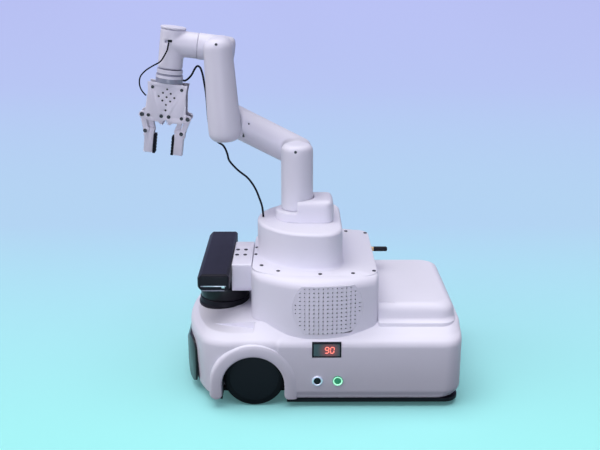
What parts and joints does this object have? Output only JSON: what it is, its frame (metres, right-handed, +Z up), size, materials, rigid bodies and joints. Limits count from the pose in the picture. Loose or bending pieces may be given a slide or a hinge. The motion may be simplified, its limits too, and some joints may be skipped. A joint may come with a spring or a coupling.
{
  "type": "mobile manipulator robot",
  "caption": "Wheeled mobile robot with a white moulded body, scanner, camera bar, jointed arm and geared two-finger gripper.",
  "frame": {"origin": "on the floor, under the middle of the box that holds the object; also on the arm's first axis", "axes": "+X forward, +Y the robot's left, +Z up"},
  "size_m": [0.4384, 0.265, 0.4839],
  "materials": {
    "white_plastic": "moulded satin white plastic",
    "black_plastic": "fine-grained black plastic",
    "gloss_black": "polished black plastic",
    "grey_plastic": "grey moulded plastic",
    "rubber": "soft black rubber",
    "tyre": "smooth black tyre",
    "steel": "zinc plated steel",
    "dark_steel": "blackened screws",
    "brass": "turned brass",
    "battery": "shrink sleeve",
    "board": "circuit board",
    "green_light": "lit green lens",
    "display_red": "dark red display window"
  },
  "bodies": {
    "chassis": {"lower_shell": "white_plastic", "base_plate": "black_plastic", "front_visor": "gloss_black", "rear_cover": "white_plastic", "tower_shell": "white_plastic", "speaker_grille": "white_plastic", "speaker_driver": "black_plastic", "deck_plate": "white_plastic", "deck_screws": "dark_steel", "pedestal": "white_plastic", "arm_base": "white_plastic", "display_housing": "black_plastic", "display_window": "display_red", "button_bezels": "steel", "battery_pack": "battery", "control_board": "board", "drive_motors": "steel", "caster_mounts": "black_plastic", "lidar_base": "black_plastic", "camera_bracket": "white_plastic", "bracket_screws": "dark_steel", "camera_bar": "black_plastic", "camera_trim": "steel", "camera_window": "gloss_black", "antenna_base": "brass", "antenna_rod": "black_plastic", "charge_port": "black_plastic"},
    "shoulder": {"shoulder_housing": "white_plastic"},
    "upper_arm": {"upper_arm": "white_plastic"},
    "forearm": {"forearm": "white_plastic", "gripper_cable": "rubber"},
    "wrist": {"wrist_elbow": "white_plastic"},
    "wrist_can": {"wrist_can": "white_plastic", "can_cap": "white_plastic"},
    "tool": {"tool_flange": "grey_plastic", "gripper_adapter": "grey_plastic", "gripper_plates": "white_plastic", "gripper_servo": "black_plastic", "gripper_pins": "dark_steel", "sensor_lead": "rubber"},
    "left_gear_arm": {"left_gear_arm": "white_plastic"},
    "right_gear_arm": {"right_gear_arm": "white_plastic"},
    "left_outer_link": {"left_outer_link": "white_plastic"},
    "right_outer_link": {"right_outer_link": "white_plastic"},
    "left_finger": {"left_finger": "white_plastic", "left_pad": "rubber"},
    "right_finger": {"right_finger": "white_plastic", "right_pad": "rubber"},
    "left_drive_wheel": {"left_wheel": "black_plastic", "left_tyre": "tyre"},
    "right_drive_wheel": {"right_wheel": "black_plastic", "right_tyre": "tyre"},
    "left_caster": {"left_caster_fork": "steel"},
    "left_caster_roller": {"left_caster_wheel": "rubber"},
    "right_caster": {"right_caster_fork": "steel"},
    "right_caster_roller": {"right_caster_wheel": "rubber"},
    "lidar_head": {"lidar_rotor": "gloss_black"},
    "stop_key": {"stop_button": "gloss_black"},
    "start_key": {"start_button": "green_light"}
  },
  "joints": [
    {"name": "base_turn", "type": "hinge", "parent": "chassis", "child": "shoulder", "pos_m": [0, 0, 0.24], "axis": [0, 0, 1], "range_deg": [-168, 168]},
    {"name": "shoulder_lift", "type": "hinge", "parent": "shoulder", "child": "upper_arm", "pos_m": [0, -0.025, 0.3077], "axis": [0, -1, 0], "range_deg": [-30, 100]},
    {"name": "elbow_bend", "type": "hinge", "parent": "upper_arm", "child": "forearm", "pos_m": [0.09837, -0.025, 0.35782], "axis": [0, 1, 0], "range_deg": [-70, 50], "deforming": ["gripper_cable"]},
    {"name": "wrist_pitch", "type": "hinge", "parent": "forearm", "child": "wrist", "pos_m": [0.10378, -0.025, 0.45166], "axis": [0, 1, 0], "range_deg": [-90, 10]},
    {"name": "wrist_roll", "type": "hinge", "parent": "wrist", "child": "wrist_can", "pos_m": [0.13498, -0.05, 0.45559], "axis": [0.9923, 0, 0.1236], "range_deg": [-165, 165]},
    {"name": "tool_roll", "type": "hinge", "parent": "wrist_can", "child": "tool", "pos_m": [0.17503, -0.05, 0.4253], "axis": [-0.1236, 0, 0.9923], "range_deg": [-175, 175], "deforming": ["sensor_lead"]},
    {"name": "grip", "type": "hinge", "parent": "tool", "child": "left_gear_arm", "pos_m": [0.20595, -0.05, 0.36315], "axis": [0, 1, 0], "range_deg": [-28, 28]},
    {"name": "right_gear_turn", "type": "hinge", "parent": "tool", "child": "right_gear_arm", "pos_m": [0.1603, -0.05, 0.35746], "axis": [0, 1, 0], "range_deg": [-29, 29]},
    {"name": "left_link_turn", "type": "hinge", "parent": "tool", "child": "left_outer_link", "pos_m": [0.21458, -0.05, 0.36422], "axis": [0, 1, 0], "range_deg": [-29, 29]},
    {"name": "right_link_turn", "type": "hinge", "parent": "tool", "child": "right_outer_link", "pos_m": [0.15167, -0.05, 0.35639], "axis": [0, 1, 0], "range_deg": [-29, 29]},
    {"name": "left_finger_turn", "type": "hinge", "parent": "left_gear_arm", "child": "left_finger", "pos_m": [0.20224, -0.05, 0.34075], "axis": [0, 1, 0], "range_deg": [-29, 29]},
    {"name": "right_finger_turn", "type": "hinge", "parent": "right_gear_arm", "child": "right_finger", "pos_m": [0.16939, -0.05, 0.33666], "axis": [0, 1, 0], "range_deg": [-29, 29]},
    {"name": "left_wheel_spin", "type": "hinge", "parent": "chassis", "child": "left_drive_wheel", "pos_m": [0.057, 0.1115, 0.041], "axis": [0, 1, 0], "continuous": true},
    {"name": "right_wheel_spin", "type": "hinge", "parent": "chassis", "child": "right_drive_wheel", "pos_m": [0.057, -0.1115, 0.041], "axis": [0, 1, 0], "continuous": true},
    {"name": "left_caster_swivel", "type": "hinge", "parent": "chassis", "child": "left_caster", "pos_m": [-0.165, 0.087, 0.038], "axis": [0, 0, 1], "continuous": true},
    {"name": "left_caster_roll", "type": "hinge", "parent": "left_caster", "child": "left_caster_roller", "pos_m": [-0.176, 0.087, 0.015], "axis": [0, 1, 0], "continuous": true},
    {"name": "right_caster_swivel", "type": "hinge", "parent": "chassis", "child": "right_caster", "pos_m": [-0.165, -0.087, 0.038], "axis": [0, 0, 1], "continuous": true},
    {"name": "right_caster_roll", "type": "hinge", "parent": "right_caster", "child": "right_caster_roller", "pos_m": [-0.176, -0.087, 0.015], "axis": [0, 1, 0], "continuous": true},
    {"name": "lidar_spin", "type": "hinge", "parent": "chassis", "child": "lidar_head", "pos_m": [0.103, 0, 0.113], "axis": [0, 0, 1], "continuous": true},
    {"name": "stop_press", "type": "slide", "parent": "chassis", "child": "stop_key", "axis": [0, -1, 0], "range_m": [0, 0.0012], "stiffness_N_per_m": 400, "springref_m": -0.0005},
    {"name": "start_press", "type": "slide", "parent": "chassis", "child": "start_key", "axis": [0, -1, 0], "range_m": [0, 0.0012], "stiffness_N_per_m": 400, "springref_m": -0.0005}
  ],
  "couplings": [
    {"joint": "right_gear_turn", "follows": "grip", "ratio": -1},
    {"joint": "left_link_turn", "follows": "grip", "ratio": 1},
    {"joint": "right_link_turn", "follows": "grip", "ratio": -1},
    {"joint": "left_finger_turn", "follows": "grip", "ratio": -1},
    {"joint": "right_finger_turn", "follows": "grip", "ratio": 1}
  ]
}
